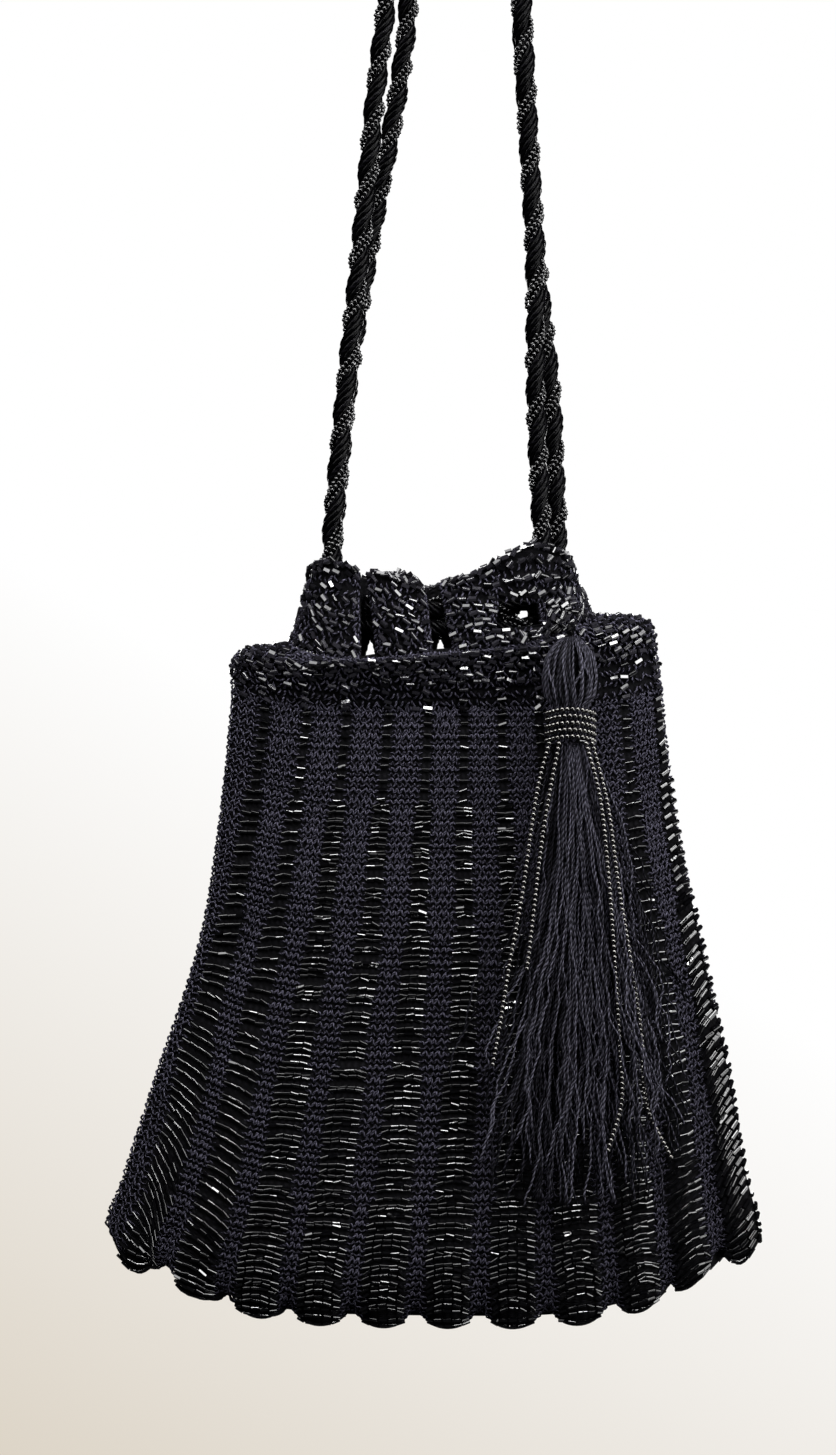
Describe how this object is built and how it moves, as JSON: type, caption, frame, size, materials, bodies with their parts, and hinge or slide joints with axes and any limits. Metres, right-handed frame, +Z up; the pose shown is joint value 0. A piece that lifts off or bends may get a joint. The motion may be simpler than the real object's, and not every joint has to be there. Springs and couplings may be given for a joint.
{
  "type": "beaded tassel bag",
  "caption": "Black knitted drawstring bag with columns of jet bugle beads, a beaded band and gathered heading, twisted beaded drawstrings and a long thread tassel, hung up by its loops.",
  "frame": {"origin": "where the bag hangs: midway between its two drawstring loops, level with the underside of their bends", "axes": "+Z up, the front of the bag faces -Y, +X to the right as seen from the front"},
  "size_m": [0.1964, 0.0468, 0.4224],
  "materials": {
    "knit": "black knitted yarn",
    "beadwork": "black knitting covered with bugle beads",
    "cord": "twisted smooth black thread",
    "tassel_thread": "twisted black thread",
    "jet_beads": "polished jet-black glass"
  },
  "bodies": {
    "root": {"pouch": "knit", "bead_band": "beadwork", "gathered_heading": "beadwork", "drawstring_left": "cord", "drawstring_right": "cord", "tassel_tie": "cord", "tassel": "tassel_thread", "tassel_neck_beads": "jet_beads", "bead_string_outer_left": "jet_beads", "bead_string_inner_left": "jet_beads", "bead_string_inner_right": "jet_beads", "bead_string_outer_right": "jet_beads"}
  },
  "joints": []
}
